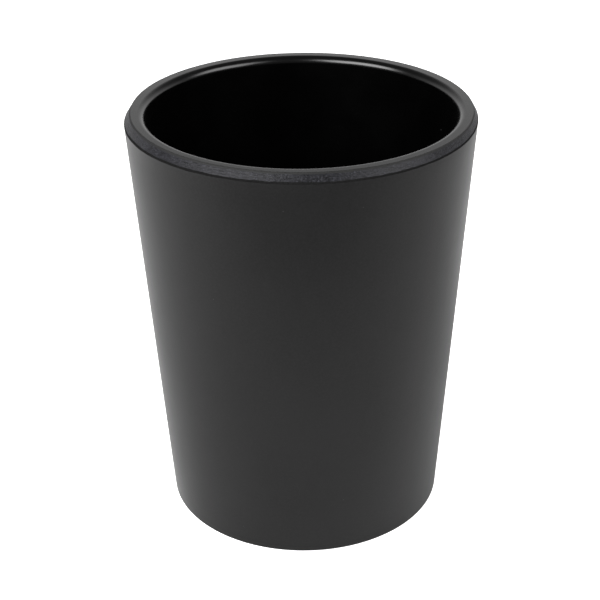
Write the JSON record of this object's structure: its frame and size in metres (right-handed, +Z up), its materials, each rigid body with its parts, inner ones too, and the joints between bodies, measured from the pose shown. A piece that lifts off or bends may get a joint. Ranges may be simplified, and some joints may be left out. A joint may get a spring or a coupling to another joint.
{
  "type": "empty candle jar",
  "caption": "Tapered round candle jar of dark glazed stoneware, wide end up, with a ground bevel round the rim, a rolled gloss lip and a ringed foot. It holds poured wax.",
  "frame": {"origin": "centre of the foot, on the surface that the jar stands on", "axes": "+Z up along the jar's axis, out of its mouth. The jar is the same all round, so X and Y point anywhere square to it"},
  "size_m": [0.0804, 0.0804, 0.1],
  "materials": {
    "bare_stoneware": "ground, unglazed",
    "matt_coat": "matt",
    "gloss_glaze": "gloss"
  },
  "bodies": {
    "root": {"stoneware_body": "bare_stoneware", "outer_matt_coat": "matt_coat", "inner_gloss_glaze": "gloss_glaze", "underside_coat": "matt_coat"}
  },
  "joints": []
}
